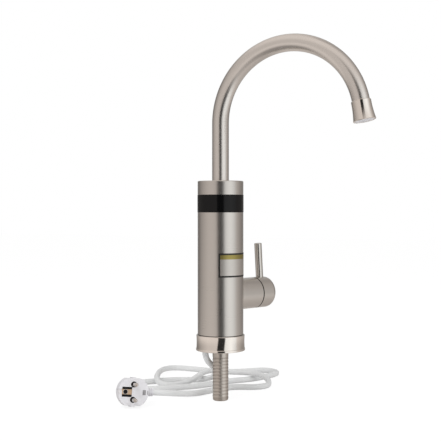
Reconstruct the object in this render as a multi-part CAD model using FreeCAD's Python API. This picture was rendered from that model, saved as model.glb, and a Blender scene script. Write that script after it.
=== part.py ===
import FreeCAD, Part
import math
import os

os.makedirs("parts", exist_ok=True)
Vec = FreeCAD.Vector

# An electric instant water heater tap. Millimetres, +Z up. The origin is the centre of the foot's underside,
# on the worktop, and at rest the spout reaches along +X.

# Clearances
SLIP = 0.1        # parts that push together and stay
RUN = 0.08        # turning parts on their bearing
FREE = 0.3        # moving faces that must not touch
SEAT = 0.05       # faces bent to the same radius

# Body, band and cap
BODY_D = 60.0
BODY_WALL = 1.2
BODY_TOP = 180.5
BAND_H = 23.0
BAND_PROUD = 0.3
BAND_WALL = 2.0
BAND_LIP_H = 3.4
BAND_LIP_WALL = 0.7
CAP_H = 18.0
CAP_PLATE = 1.8
CAP_EDGE = 1.2

# Foot flange, its seal and the base plate inside it
FLANGE_H = 20.5
FLANGE_OUT = 1.8
FLANGE_WAIST = 0.3
FLANGE_BEAD = 0.5
BEAD_H = 3.2
FLANGE_ROOM = 0.25
LEDGE_H = 4.0
LEDGE_W = 4.8
SEAL_INSET = 1.2
SEAL_W = 2.4
SEAL_H = 2.0
PLATE_RIM = 3.0
PLATE_SPIGOT = 5.0

# Shank under the worktop, with the size of a half-inch pipe thread
SHANK_D = 20.955
SHANK_LEN = 66.0
SHANK_BORE = 14.0
SHANK_CHAMFER = 1.0
SHANK_NECK_D = 20.0
SHANK_STEP = 0.5
HEAD_D = 25.6
HEAD_FLATS = 22.6
HEAD_H = 6.0
SOCKET_D = 17.2
SOCKET_FLOOR = 1.0
SHANK_NUT_D = 24.4
SHANK_NUT_H = 3.2
SHANK_NUT_SLOTS = 4
SHANK_NUT_SLOT_W = 3.0
SHANK_NUT_SLOT_SHARE = 0.4

# Where the mains lead comes in
GLAND_ANGLE = 203.0
GLAND_D = 10.0
GLAND_NOSE_D = 9.2
GLAND_TOP_D = 11.6
GLAND_LIP_H = 2.0
GLAND_TAIL = 8.0
GLAND_TAIL_D = 9.0
NOSE_GAP = 0.5

# Screws from the base plate into the inner frame
BASE_SCREWS = 3
BASE_SCREW_D = 3.2
BASE_SCREW_HEAD_D = 6.0
BASE_SCREW_HEAD_H = 2.2
BASE_SCREW_LEN = 14.0
SCREW_EDGE = 5.5
FRAME_BOSS_D = 8.0
FRAME_BOSS_H = 14.0

# Inner frame
FRAME_ROOM = 0.3
FRAME_WALL = 2.0
WINDOW_W = 18.0
WINDOW_H = 30.0
WINDOWS = (130.0, 270.0)

# Side valve, along its own axis from the tap's centre line
VALVE_Z = 71.5
VALVE_ANGLE = 71.5
STUB_D = 41.6
STUB_REACH = 30.4
NECK_D = 25.6
NECK_START = 15.0
NECK_BORE = 18.0
SHOULDER_OUT = 1.0
STUB_BORE = 31.0
NUT_BORE = 34.0
CARTRIDGE_FLANGE_H = 7.0
CARTRIDGE_TOP_D = 20.0
CARTRIDGE_TOP_H = 18.0
CARTRIDGE_CUP_D = 15.4
CARTRIDGE_CUP_H = 11.0
CARTRIDGE_NUT_H = 7.0
CARTRIDGE_NUT_SLOTS = 4
NUT_SLOT_W = 3.0
DISC_D = 15.0
DISC_H = 3.4
PORT_D = 5.0
PORT_AT = 4.5
PORT_SEAL_H = 1.2
PORT_SEAL_WALL = 1.0
SPINDLE_D = 9.0
SPINDLE_FOOT_H = 3.2

# Turning cap and rod lever
CAP_GAP = 1.0
HANDLE_LEN = 25.8
HANDLE_ROUND = 7.5
HANDLE_WALL = 2.7
HANDLE_FACE = 5.5
HUB_D = 18.4
HUB_SETBACK = 2.0
ROD_D = 10.0
ROD_TOP = 138.4
ROD_LEAN = 3.9
ROD_EDGE = 0.8
TENON_D = 5.8
GRUB_D = 4.0
GRUB_KEY = 2.0
GRUB_KEY_DEPTH = 2.0

# Water ways
MANIFOLD_D = 22.0
MANIFOLD_DROP = 23.0
MANIFOLD_RISE = 29.0
MANIFOLD_BOSS_D = 29.0
BOSS_ROOM = 0.68
PIPE_D = 16.8
PIPE_SPIGOT_D = 13.8
PIPE_SPIGOT_H = 11.0
PIPE_BORE = 10.0
WAY_D = 8.0
INLET_RING_H = 2.0
INLET_RING_WALL = 1.2
PISTON_BORE = 12.0
PISTON_SEAT = 9.0
PISTON_H = 8.0
PISTON_ROOM = 0.4
PISTON_WAY = 3.0
SENSOR_W = 6.0
SENSOR_T = 5.0
SENSOR_H = 14.0
SENSOR_TURN = 183.0
LUG_W = 4.0
LUG_H = 8.0
LUG_OUT = 3.0

# Heating chamber
CHAMBER_WALL = 2.2
CHAMBER_FLOOR = 3.0
LID_DROP = 4.5
LID_PLATE = 5.0
LID_PLUG = 4.0
LID_RING_H = 1.8
LID_RING_WALL = 1.1
LID_SCREWS = 3
LID_SCREW_D = 3.0
LID_SCREW_HEAD_D = 5.5
LID_SCREW_HEAD_H = 2.0
LID_SCREW_DEPTH = 10.0
LID_BOSS_D = 9.0
LID_BOSS_H = 16.0
LID_BOSS_SINK = 0.8
ELEMENT_D = 6.5
ELEMENT_STEP = 60.0
ELEMENT_TAIL = 8.0
ELEMENT_ROOM = 6.0
ELEMENT_NUT_D = 8.6
ELEMENT_NUT_H = 3.5
CUTOUT_ROOM = 0.95
CUTOUT_H = 8.0
TAB_W = 4.0
TAB_T = 0.8
TAB_H = 5.0
PROBE_D = 4.0
PROBE_LEN = 32.0
PROBE_ROOM = 0.6
PROBE_HEAD_D = 8.0
PROBE_HEAD_H = 4.0

# Display behind the band
FRONT_ANGLE = -17.0
DISPLAY_SETBACK = 1.5
BOARD_W = 26.0
BOARD_H = 18.0
BOARD_T = 1.6
BRACKET_W = 18.0
BRACKET_T = 8.0
BRACKET_H = 6.0
BRACKET_FLOOR = 2.0
MODULE_W = 16.0
MODULE_H = 10.0
MODULE_T = 4.4

# Swivel and spout
TUBE_D = 22.0
TUBE_WALL = 1.6
TUBE_ROOM = 0.35
RISE = 75.1
ARC_R = 97.5
ARC_ANGLE = 168.5
STEM_D = 18.8
STEM_BORE = 13.0
STEM_DOWN = 22.0
STEM_UP = 24.0
COLLAR_ROOM = 0.5
COLLAR_H = 2.0
NECK_BELOW_CAP = 11.5
OUTLET_BORE = 14.0
SPOUT_NUT_WALL = 2.5
SPOUT_NUT_SKIRT = 10.0
SPOUT_NUT_LIP = 3.0
WASHER_H = 1.0
WASHER_W = 1.65
O_RING_H = 1.8
O_RING_DEPTH = 1.4
O_RINGS = (5.0, 13.0)

# Nozzle
NOZZLE_LEN = 25.0
NOZZLE_TOP_OUT = 1.3
NOZZLE_MID_OUT = 1.6
NOZZLE_RIM_OUT = 3.1
NOZZLE_EDGE = 0.6
TUBE_INSET = 6.0
NOZZLE_SHOULDER = 2.0
NOZZLE_THROAT = 15.0
INSERT_OUT = 0.1
INSERT_STEP = 17.5
INSERT_RIM_OUT = 1.5
INSERT_RECESS = 0.6
INSERT_PLATE = 2.4
INSERT_WALL = 1.6
JET_D = 1.9
JET_RINGS = 3
JET_STEP = 3.4
WASHER_T = 2.0
WASHER_IN = 15.0

# Mains lead and plug, which lie on the surface at the shank's lower end
CORD_D = 8.0
WIRE_D = 2.6
WIRE_AT = 2.0
PLUG_AT = (-70.5, -99.2)
PLUG_TURN = -45.5
PLUG_ROLL = 5.7
PLUG_D = 38.8
PLUG_FLATS = 34.0
PLUG_RIB_W = 5.0
PLUG_RIB_REACH = 18.3
PLUG_FRONT = 18.0
PLUG_DEPTH = 36.0
PLUG_BACK_D = 31.6
PLUG_NECK_BACK = 26.0
PLUG_NECK_D = 15.0
PLUG_NECK_END_D = 10.0
PLUG_NECK_REACH = 30.0
NECK_GROOVES = 4
NECK_GROOVE_W = 1.2
NECK_GROOVE_DEPTH = 0.8
PIN_D = 4.8
PIN_LEN = 19.0
PIN_SPACING = 19.0
PIN_ROOT = 12.0
PIN_WELL_D = 7.6
PIN_WELL_DEPTH = 1.2
WINDOW_IN = 1.9
WINDOW_OUT = 14.5
WINDOW_TALL = 12.4
WINDOW_DEPTH = 8.0
EARTH_HOLE_AT = 10.0
EARTH_HOLE_D = 4.8
EARTH_STRIP_W = 6.6
EARTH_STRIP_T = 0.8
EARTH_STRIP_DOWN = 1.0
EARTH_TUBE_GAP = 1.0
EARTH_CLIP_W = 5.0
EARTH_CLIP_LEN = 13.0
EARTH_GROOVE_DEPTH = 1.8

# The lead's route: across, along, and height above the surface that it lies on. Before it comes a straight
# run down from the gland's nose, and after it one into the plug's neck.
CORD_ROUTE = (
    (-18, 10, 39.5),
    (-23, 33, 32.0),
    (-32, 56, 25.0),
    (-44, 75, 18.8),
    (-64, 88, 8.7),
    (-89, 93, 4.0),
    (-114, 88, 4.0),
    (-133, 73, 4.0),
    (-146, 56, 4.0),
    (-161, 43, 4.0),
    (-168, 25, 4.0),
    (-162, 6, 4.0),
    (-148, -7, 4.0),
    (-130, -8, 4.0),
    (-114, 2, 4.0),
    (-97, 19, 4.0),
    (-78, 40, 4.0),
    (-60, 64, 4.0),
    (-51, 92, 4.0),
    (-41, 118, 4.0),
    (-24, 134, 4.0),
    (-13, 153, 4.0),
    (-7, 176, 4.0),
    (-12, 195, 4.0),
    (-27, 206, 4.0),
    (-47, 207, 4.0),
    (-66, 194, 4.0),
    (-82, 172, 4.0),
    (-106, 161, 4.0),
    (-130, 160, 4.0),
    (-152, 158, 4.0),
    (-166, 145, 4.0),
    (-168, 125, 6.0),
    (-161, 106, 9.5),
    (-150, 85, 13.4),
    (-139, 62, 13.4),
    (-125, 46, 9.5),
    (-107, 40, 5.0),
    (-87, 46, 4.7),
    (-76, 63, 9.2),
    (-75, 82, 15.0),
    (-76, 102, 17.0),
    (-70, 122, 15.0),
    (-56, 136, 12.0),
    (-34, 141, 13.3),
    (-10, 135, 13.3),
    (9, 125, 8.0),
    (19, 109, 4.5),
    (21, 91, 4.0),
    (10, 75, 4.0),
    (-10, 66, 4.0),
    (-25, 48, 4.0),
    (-33, 25, 4.0),
    (-39, 0, 4.5),
    (-50, -23, 7.5),
)
NOSE_RUN = 14.0
NECK_RUN = 14.0
ARC_SHARE = 0.45

# Worked out from the sizes above
BODY_R = BODY_D / 2
BODY_IN = BODY_R - BODY_WALL
BAND_TOP = BODY_TOP + BAND_H
CAP_TOP = BAND_TOP + CAP_H
FLANGE_R = BODY_R + FLANGE_OUT
FLANGE_IN = BODY_R + FLANGE_ROOM
LEDGE_IN = FLANGE_IN - LEDGE_W
GROOVE_IN = LEDGE_IN + SEAL_INSET
GROOVE_OUT = GROOVE_IN + SEAL_W
GLAND_AT = LEDGE_IN - GLAND_D / 2 - SEAT
BASE_SCREW_AT = BODY_IN - SLIP - SCREW_EDGE
SHELL_BOTTOM = LEDGE_H + PLATE_RIM
PLATE_TOP = SHELL_BOTTOM + PLATE_SPIGOT
HEAD_TOP = PLATE_TOP + HEAD_H
MANIFOLD_BOTTOM = VALVE_Z - MANIFOLD_DROP
CHAMBER_BOTTOM = VALVE_Z + MANIFOLD_RISE
CHAMBER_R = BODY_IN - FRAME_ROOM
CHAMBER_IN = CHAMBER_R - CHAMBER_WALL
FRAME_IN = CHAMBER_R - FRAME_WALL
BOSS_END = math.sqrt(FRAME_IN ** 2 - (MANIFOLD_BOSS_D / 2) ** 2) - BOSS_ROOM
ELEMENT_AT = MANIFOLD_D / 2 + FREE + ELEMENT_NUT_D / 2
CUTOUT_D = FRAME_IN - MANIFOLD_D / 2 - 2 * CUTOUT_ROOM
CUTOUT_AT = (FRAME_IN + MANIFOLD_D / 2) / 2
LID_SCREW_AT = CHAMBER_IN + LID_BOSS_SINK - LID_BOSS_D / 2
LID_TOP = BODY_TOP - LID_DROP
LID_SEAT = LID_TOP - LID_PLATE
LID_UNDER = LID_SEAT - LID_PLUG
OUTLET_NECK_D = TUBE_D + 2 * TUBE_ROOM + 2 * WASHER_W
OUTLET_TOP = CAP_TOP - NECK_BELOW_CAP
COLLAR_D = OUTLET_NECK_D - 2 * COLLAR_ROOM
SPOUT_NUT_FLATS = OUTLET_NECK_D + 2 * SPOUT_NUT_WALL
PROBE_AT = OUTLET_NECK_D / 2 + PROBE_HEAD_D / math.sqrt(3) + PROBE_ROOM
BAND_LIP_IN = BODY_IN - SLIP - BAND_LIP_WALL
BOARD_AT = BAND_LIP_IN - DISPLAY_SETBACK - MODULE_T - BOARD_T
COLLAR_BOTTOM = OUTLET_TOP + FREE
TUBE_BOTTOM = COLLAR_BOTTOM + COLLAR_H
TUBE_R = TUBE_D / 2
TUBE_IN = TUBE_R - TUBE_WALL
ARC_Z = CAP_TOP + RISE
INSERT_D = TUBE_D + 2 * INSERT_OUT
INSERT_RIM_D = TUBE_D + 2 * INSERT_RIM_OUT
STEM_R = STEM_D / 2
FLOOR_Z = -SHANK_LEN
STUB_SHOULDER = BODY_R + SHOULDER_OUT
STUB_END = BODY_R + STUB_REACH
HANDLE_START = STUB_END + CAP_GAP
HANDLE_END = HANDLE_START + HANDLE_LEN
ROD_S = (HANDLE_START + HANDLE_END) / 2
HUB_START = HANDLE_START + HUB_SETBACK
HUB_BACK = HANDLE_END - HANDLE_FACE
DISC_START = NECK_START + PORT_SEAL_H
GLAND_TOP = PLATE_TOP + GLAND_LIP_H + GLAND_TAIL
VALVE_DIR = Vec(math.cos(math.radians(VALVE_ANGLE)), math.sin(math.radians(VALVE_ANGLE)), 0)


# Shapes

def rod(d, z0, z1, x=0.0, y=0.0):
    return Part.makeCylinder(d / 2, z1 - z0, Vec(x, y, z0))


def ring(d_out, d_in, z0, z1, x=0.0, y=0.0):
    return rod(d_out, z0, z1, x, y).cut(rod(d_in, z0, z1, x, y))


def cone(d0, d1, z0, z1, x=0.0, y=0.0):
    return Part.makeCone(d0 / 2, d1 / 2, z1 - z0, Vec(x, y, z0))


def block(x0, x1, y0, y1, z0, z1):
    return Part.makeBox(x1 - x0, y1 - y0, z1 - z0, Vec(x0, y0, z0))


def outline(start, steps):
    """Edges from (r, z) to (r, z). A step that is a pair of points is an arc by way of the first."""
    here = Vec(start[0], 0, start[1])
    edges = []
    for step in tuple(steps) + (start,):
        if isinstance(step[0], tuple):
            (rm, zm), (r, z) = step
            there = Vec(r, 0, z)
            edges.append(Part.Arc(here, Vec(rm, 0, zm), there).toShape())
        else:
            there = Vec(step[0], 0, step[1])
            edges.append(Part.LineSegment(here, there).toShape())
        here = there
    return edges


def turned(start, *steps):
    face = Part.Face(Part.Wire(outline(start, steps)))
    return face.revolve(Vec(0, 0, 0), Vec(0, 0, 1), 360)


def polar(distance, angle):
    a = math.radians(angle)
    return distance * math.cos(a), distance * math.sin(a)


def joined(first, *others):
    for other in others:
        first = first.fuse(other)
    return first.removeSplitter()


def hexagon(flats, z0, z1):
    across = flats / math.sqrt(3)
    corners = [Vec(*polar(across, 60 * i), z0) for i in range(7)]
    return Part.Face(Part.makePolygon(corners)).extrude(Vec(0, 0, z1 - z0))


def swept(wire, d, start, along):
    circle = Part.Wire(Part.makeCircle(d / 2, start, along))
    return wire.makePipeShell([circle], True, False)


# Places of the sub-assemblies

VALVE_FRAME = FreeCAD.Placement(
    Vec(0, 0, VALVE_Z),
    FreeCAD.Rotation(Vec(0, 0, 1), VALVE_ANGLE) * FreeCAD.Rotation(Vec(0, 1, 0), 90),
)


def on_valve(shape):
    """The valve's pieces are made upright, from the tap's centre line outwards."""
    return shape.transformed(VALVE_FRAME.toMatrix(), True)


def on_nozzle(shape):
    """The nozzle's pieces are made upright, from the end of the spout's arc downstream."""
    a = math.radians(ARC_ANGLE)
    end = Vec(ARC_R * (1 - math.cos(a)), 0, ARC_Z + ARC_R * math.sin(a))
    turn = FreeCAD.Rotation(Vec(0, 1, 0), ARC_ANGLE)
    return shape.transformed(FreeCAD.Placement(end, turn).toMatrix(), True)


def plug_frame():
    """Pins along the plug's own Z, its lead along X. It leans back on a rib's end and the rim of its back."""
    roll = math.radians(PLUG_ROLL)
    foot = PLUG_RIB_REACH * math.cos(roll) + PLUG_RIB_W / 2 * math.sin(roll)
    tilt = math.atan2(foot - PLUG_BACK_D / 2, PLUG_DEPTH - PLUG_FRONT)
    rest = foot * math.cos(tilt) + PLUG_FRONT * math.sin(tilt)
    ahead = Vec(*polar(1, PLUG_TURN), 0)
    up = Vec(0, 0, 1)
    pins = ahead * math.cos(tilt) + up * math.sin(tilt)
    lead = Vec(*polar(1, PLUG_TURN + 90), 0)
    leaning = FreeCAD.Rotation(lead, up * math.cos(tilt) - ahead * math.sin(tilt), pins, "ZXY")
    rolled = leaning * FreeCAD.Rotation(Vec(0, 0, 1), -PLUG_ROLL)
    return FreeCAD.Placement(Vec(PLUG_AT[0], PLUG_AT[1], FLOOR_Z + rest), rolled)


def on_plug(shape):
    return shape.transformed(plug_frame().toMatrix(), True)


# Foot

def base_flange():
    foot = FLANGE_R + FLANGE_BEAD
    edge = FLANGE_BEAD
    lip = (FLANGE_R - FLANGE_IN) / 2
    waist = FLANGE_R - FLANGE_WAIST
    return turned(
        (LEDGE_IN, 0),
        (GROOVE_IN, 0),
        (GROOVE_IN, SEAL_H),
        (GROOVE_OUT, SEAL_H),
        (GROOVE_OUT, 0),
        (foot - edge, 0),
        ((foot - edge * 0.293, edge * 0.293), (foot, edge)),
        (foot, BEAD_H - edge),
        ((foot - edge * 0.293, BEAD_H - edge * 0.293), (FLANGE_R, BEAD_H)),
        ((waist, (BEAD_H + FLANGE_H - lip) / 2), (FLANGE_R, FLANGE_H - lip)),
        ((FLANGE_R - lip, FLANGE_H), (FLANGE_IN, FLANGE_H - lip)),
        (FLANGE_IN, LEDGE_H),
        (LEDGE_IN, LEDGE_H),
    )


def deck_seal():
    return ring(2 * (GROOVE_OUT - SLIP), 2 * (GROOVE_IN + SLIP), 0, SEAL_H)


def screw_places():
    return [polar(BASE_SCREW_AT, GLAND_ANGLE + 360 / BASE_SCREWS * (i + 0.5)) for i in range(BASE_SCREWS)]


def base_plate():
    gx, gy = polar(GLAND_AT, GLAND_ANGLE)
    plate = rod(2 * (FLANGE_IN - SLIP), LEDGE_H, SHELL_BOTTOM)
    plate = joined(plate, rod(2 * (BODY_IN - SLIP), SHELL_BOTTOM, PLATE_TOP))
    plate = plate.cut(rod(SHANK_NECK_D + 2 * SLIP, LEDGE_H, PLATE_TOP))
    plate = plate.cut(rod(GLAND_D + 2 * SLIP, LEDGE_H, PLATE_TOP, gx, gy))
    for x, y in screw_places():
        plate = plate.cut(rod(BASE_SCREW_D + 2 * SLIP, LEDGE_H, PLATE_TOP, x, y))
        plate = plate.cut(rod(BASE_SCREW_HEAD_D + 2 * SLIP, LEDGE_H, LEDGE_H + BASE_SCREW_HEAD_H, x, y))
    return plate


def base_screws():
    screws = []
    for x, y in screw_places():
        head_top = LEDGE_H + BASE_SCREW_HEAD_H
        head = rod(BASE_SCREW_HEAD_D, LEDGE_H, head_top, x, y)
        screws.append(joined(head, rod(BASE_SCREW_D, head_top, head_top + BASE_SCREW_LEN, x, y)))
    return Part.makeCompound(screws)


def threaded_shank():
    shank_r = SHANK_D / 2
    neck_r = SHANK_NECK_D / 2
    bore_r = SHANK_BORE / 2
    socket_floor = PLATE_TOP + SOCKET_FLOOR
    shank = turned(
        (bore_r, FLOOR_Z),
        (shank_r - SHANK_CHAMFER, FLOOR_Z),
        (shank_r, FLOOR_Z + SHANK_CHAMFER),
        (shank_r, -SHANK_STEP),
        (neck_r, -SHANK_STEP),
        (neck_r, PLATE_TOP),
        (HEAD_D / 2, PLATE_TOP),
        (HEAD_D / 2, HEAD_TOP),
        (SOCKET_D / 2, HEAD_TOP),
        (SOCKET_D / 2, socket_floor),
        (bore_r, socket_floor),
    )
    for side in (0, 180):
        flat = block(HEAD_FLATS / 2, HEAD_D, -HEAD_D, HEAD_D, PLATE_TOP, HEAD_TOP)
        flat.rotate(Vec(0, 0, 0), Vec(0, 0, 1), GLAND_ANGLE + side)
        shank = shank.cut(flat)
    return shank


def shank_nut():
    bottom = LEDGE_H - SHANK_NUT_H
    nut = ring(SHANK_NUT_D, SHANK_NECK_D + 2 * SLIP, bottom, LEDGE_H)
    reach = SHANK_NUT_D / 2 - SHANK_NUT_SLOT_SHARE * (SHANK_NUT_D - SHANK_NECK_D) / 2
    for i in range(SHANK_NUT_SLOTS):
        slot = block(reach, SHANK_NUT_D, -SHANK_NUT_SLOT_W / 2, SHANK_NUT_SLOT_W / 2, bottom, LEDGE_H)
        slot.rotate(Vec(0, 0, 0), Vec(0, 0, 1), 360 / SHANK_NUT_SLOTS * i)
        nut = nut.cut(slot)
    return nut


def cord_gland():
    x, y = polar(GLAND_AT, GLAND_ANGLE)
    lip_top = PLATE_TOP + GLAND_LIP_H
    return joined(
        cone(GLAND_NOSE_D, GLAND_D, NOSE_GAP, LEDGE_H, x, y),
        rod(GLAND_D, LEDGE_H, PLATE_TOP, x, y),
        rod(GLAND_TOP_D, PLATE_TOP, lip_top, x, y),
        cone(GLAND_D, GLAND_TAIL_D, lip_top, GLAND_TOP, x, y),
    )


def inner_frame():
    frame = ring(2 * CHAMBER_R, 2 * FRAME_IN, PLATE_TOP, CHAMBER_BOTTOM)
    for x, y in screw_places():
        boss = rod(FRAME_BOSS_D, PLATE_TOP, PLATE_TOP + FRAME_BOSS_H, x, y)
        frame = frame.fuse(boss.common(rod(2 * CHAMBER_R, PLATE_TOP, PLATE_TOP + FRAME_BOSS_H)))
    for x, y in screw_places():
        tip = LEDGE_H + BASE_SCREW_HEAD_H + BASE_SCREW_LEN
        frame = frame.cut(rod(BASE_SCREW_D + 2 * SLIP, PLATE_TOP, tip + SLIP, x, y))
    for angle in WINDOWS:
        low = (PLATE_TOP + CHAMBER_BOTTOM - WINDOW_H) / 2
        window = block(0, BODY_D, -WINDOW_W / 2, WINDOW_W / 2, low, low + WINDOW_H)
        window.rotate(Vec(0, 0, 0), Vec(0, 0, 1), angle)
        frame = frame.cut(window)
    return frame.cut(on_valve(rod(NECK_D + 2 * FREE, 0, BODY_D))).removeSplitter()


# Outer shells

def body_shell():
    shell = ring(BODY_D, 2 * BODY_IN, SHELL_BOTTOM, BODY_TOP)
    return shell.cut(on_valve(rod(NECK_D + 2 * FREE, 0, BODY_D)))


def display_ring():
    lip_out = BODY_IN - SLIP
    lip_in = BAND_LIP_IN
    band_out = BODY_R + BAND_PROUD
    band_in = band_out - BAND_WALL
    return turned(
        (lip_in, BODY_TOP - BAND_LIP_H),
        (lip_out, BODY_TOP - BAND_LIP_H),
        (lip_out, BODY_TOP),
        (band_out - BAND_PROUD, BODY_TOP),
        (band_out, BODY_TOP + BAND_PROUD),
        (band_out, BAND_TOP - BAND_PROUD),
        (band_out - BAND_PROUD, BAND_TOP),
        (lip_out, BAND_TOP),
        (lip_out, BAND_TOP + BAND_LIP_H),
        (lip_in, BAND_TOP + BAND_LIP_H),
        (lip_in, BAND_TOP - BAND_WALL),
        (band_in, BAND_TOP - BAND_WALL - (band_in - lip_in)),
        (band_in, BODY_TOP + BAND_WALL + (band_in - lip_in)),
        (lip_in, BODY_TOP + BAND_WALL),
    )


def top_cap():
    hole = TUBE_R + TUBE_ROOM
    soft = CAP_EDGE * 0.293
    return turned(
        (BODY_IN, BAND_TOP),
        (BODY_R, BAND_TOP),
        (BODY_R, CAP_TOP - CAP_EDGE),
        ((BODY_R - soft, CAP_TOP - soft), (BODY_R - CAP_EDGE, CAP_TOP)),
        (hole, CAP_TOP),
        (hole, CAP_TOP - CAP_PLATE),
        (BODY_IN, CAP_TOP - CAP_PLATE),
    )


# Water ways

def inlet_pipe():
    bottom = PLATE_TOP + SOCKET_FLOOR
    groove_bottom = HEAD_TOP - 2 * INLET_RING_H
    groove_d = PIPE_D - 2 * INLET_RING_WALL
    pipe = joined(
        rod(PIPE_D, bottom, MANIFOLD_BOTTOM),
        rod(PIPE_SPIGOT_D, MANIFOLD_BOTTOM, MANIFOLD_BOTTOM + PIPE_SPIGOT_H),
    )
    pipe = pipe.cut(rod(PIPE_BORE, bottom, MANIFOLD_BOTTOM + PIPE_SPIGOT_H))
    return pipe.cut(ring(PIPE_D, groove_d, groove_bottom, groove_bottom + INLET_RING_H))


def inlet_seal():
    bottom = HEAD_TOP - 2 * INLET_RING_H
    inside = PIPE_D - 2 * INLET_RING_WALL + SLIP
    return ring(SOCKET_D - SLIP, inside, bottom + SLIP, bottom + INLET_RING_H - SLIP)


def valve_manifold():
    spigot_top = MANIFOLD_BOTTOM + PIPE_SPIGOT_H + FREE
    seat = VALVE_Z + PISTON_SEAT
    body = rod(MANIFOLD_D, MANIFOLD_BOTTOM, CHAMBER_BOTTOM)
    body = joined(body, on_valve(rod(MANIFOLD_BOSS_D, 0, BOSS_END)), earth_lug())
    body = body.cut(on_valve(rod(NECK_D + 2 * SLIP, NECK_START, BOSS_END)))
    body = body.cut(rod(PIPE_SPIGOT_D + 2 * SLIP, MANIFOLD_BOTTOM, spigot_top))
    body = body.cut(rod(WAY_D, spigot_top, VALVE_Z - PORT_AT))
    body = body.cut(rod(WAY_D, VALVE_Z + PORT_AT, seat))
    body = body.cut(rod(PISTON_BORE, seat, CHAMBER_BOTTOM))
    for up in (-PORT_AT, PORT_AT):
        body = body.cut(on_valve(rod(PORT_D, 0, NECK_START, up)))
    return body


def earth_lug():
    bottom = MANIFOLD_BOTTOM + LUG_OUT
    reach = MANIFOLD_D / 2 + LUG_OUT
    lug = block(0, reach, -LUG_W / 2, LUG_W / 2, bottom, bottom + LUG_H)
    lug.rotate(Vec(0, 0, 0), Vec(0, 0, 1), GLAND_ANGLE)
    return lug


def port_seals():
    seals = []
    for up in (-PORT_AT, PORT_AT):
        outer = PORT_D + 2 * SLIP + 2 * PORT_SEAL_WALL
        seals.append(on_valve(ring(outer, PORT_D + 2 * SLIP, NECK_START, DISC_START, up)))
    return Part.makeCompound(seals)


def flow_piston():
    d = PISTON_BORE - 2 * PISTON_ROOM
    bottom = VALVE_Z + PISTON_SEAT + FREE
    piston = rod(d, bottom, bottom + PISTON_H)
    top_recess = cone(PISTON_WAY, d - PISTON_WAY, bottom + PISTON_H / 2, bottom + PISTON_H)
    return piston.cut(top_recess)


def flow_sensor():
    inside = MANIFOLD_D / 2 + SEAT
    top = CHAMBER_BOTTOM - SENSOR_T
    sensor = block(inside, inside + SENSOR_T, -SENSOR_W / 2, SENSOR_W / 2, top - SENSOR_H, top)
    sensor.rotate(Vec(0, 0, 0), Vec(0, 0, 1), VALVE_ANGLE + SENSOR_TURN)
    return sensor


# Heating chamber

def element_places():
    return [polar(ELEMENT_AT, GLAND_ANGLE + 90 + ELEMENT_STEP * i) for i in range(4)]


def lid_screw_places():
    return [polar(LID_SCREW_AT, GLAND_ANGLE + 360 / LID_SCREWS * (i + 0.5)) for i in range(LID_SCREWS)]


def heating_chamber():
    cup = rod(2 * CHAMBER_R, CHAMBER_BOTTOM, LID_SEAT)
    cup = cup.cut(rod(2 * CHAMBER_IN, CHAMBER_BOTTOM + CHAMBER_FLOOR, LID_SEAT))
    for x, y in lid_screw_places():
        boss = rod(LID_BOSS_D, LID_UNDER - LID_BOSS_H, LID_UNDER, x, y)
        cup = cup.fuse(boss.common(rod(2 * CHAMBER_R, CHAMBER_BOTTOM, LID_SEAT)))
    for x, y in lid_screw_places():
        cup = cup.cut(rod(LID_SCREW_D + 2 * SLIP, LID_UNDER - LID_SCREW_DEPTH - SLIP, LID_UNDER, x, y))
    cup = cup.cut(rod(WAY_D, CHAMBER_BOTTOM, CHAMBER_BOTTOM + CHAMBER_FLOOR))
    for x, y in (element_places()[0], element_places()[-1]):
        floor_top = CHAMBER_BOTTOM + CHAMBER_FLOOR
        cup = cup.cut(rod(ELEMENT_D + 2 * SLIP, CHAMBER_BOTTOM, floor_top, x, y))
    return cup.removeSplitter()


def chamber_lid():
    groove_top = LID_UNDER + LID_PLUG / 2 + LID_RING_H / 2 + SLIP
    groove_bottom = groove_top - LID_RING_H - 2 * SLIP
    plug_d = 2 * (CHAMBER_IN - SLIP)
    lid = joined(
        rod(2 * CHAMBER_R, LID_SEAT, LID_TOP),
        rod(plug_d, LID_UNDER, LID_SEAT),
        rod(OUTLET_NECK_D, LID_TOP, OUTLET_TOP),
    )
    lid = lid.cut(ring(plug_d, plug_d - 2 * LID_RING_WALL, groove_bottom, groove_top))
    lid = lid.cut(rod(OUTLET_BORE, LID_UNDER, OUTLET_TOP))
    lid = lid.cut(rod(STEM_D + 2 * RUN, COLLAR_BOTTOM - STEM_DOWN - FREE, OUTLET_TOP))
    for x, y in lid_screw_places():
        lid = lid.cut(rod(LID_SCREW_D + 2 * SLIP, LID_UNDER, LID_TOP, x, y))
    px, py = polar(PROBE_AT, GLAND_ANGLE)
    return lid.cut(rod(PROBE_D + 2 * SLIP, LID_UNDER, LID_TOP, px, py))


def lid_seal():
    middle = LID_UNDER + LID_PLUG / 2
    outer = 2 * (CHAMBER_IN - SEAT)
    inner = 2 * (CHAMBER_IN - SLIP - LID_RING_WALL) + SLIP
    return ring(outer, inner, middle - LID_RING_H / 2, middle + LID_RING_H / 2)


def lid_screws():
    screws = []
    for x, y in lid_screw_places():
        shaft = rod(LID_SCREW_D, LID_UNDER - LID_SCREW_DEPTH, LID_TOP, x, y)
        head = rod(LID_SCREW_HEAD_D, LID_TOP, LID_TOP + LID_SCREW_HEAD_H, x, y)
        screws.append(joined(shaft, head))
    return Part.makeCompound(screws)


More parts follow.
